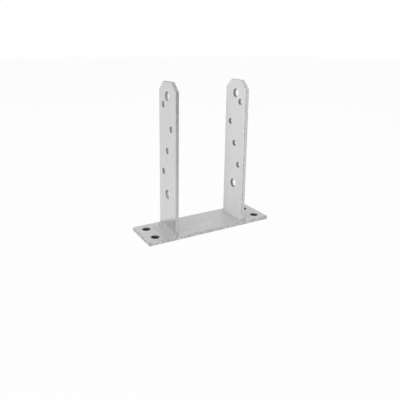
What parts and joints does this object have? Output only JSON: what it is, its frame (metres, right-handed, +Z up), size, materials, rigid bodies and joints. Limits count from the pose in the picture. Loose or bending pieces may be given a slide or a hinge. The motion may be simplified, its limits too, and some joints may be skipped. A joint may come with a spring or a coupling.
{
  "type": "timber post base",
  "caption": "Bolt-down timber post base: flat-bar fork welded across a drilled base plate, holding a square post upright on concrete.",
  "frame": {"origin": "middle of the base plate's underside", "axes": "+Z up along the uprights, +X along the plate through both uprights, +Y across the plate"},
  "size_m": [0.2, 0.06, 0.215],
  "materials": {
    "galvanised_bar": "hot-dip galvanised, satin, faint spangle",
    "galvanised_weld": "hot-dip galvanised over a rippled fillet weld"
  },
  "bodies": {
    "root": {"base_plate": "galvanised_bar", "upright_left": "galvanised_bar", "upright_right": "galvanised_bar", "weld_left": "galvanised_weld", "weld_right": "galvanised_weld"}
  },
  "joints": []
}
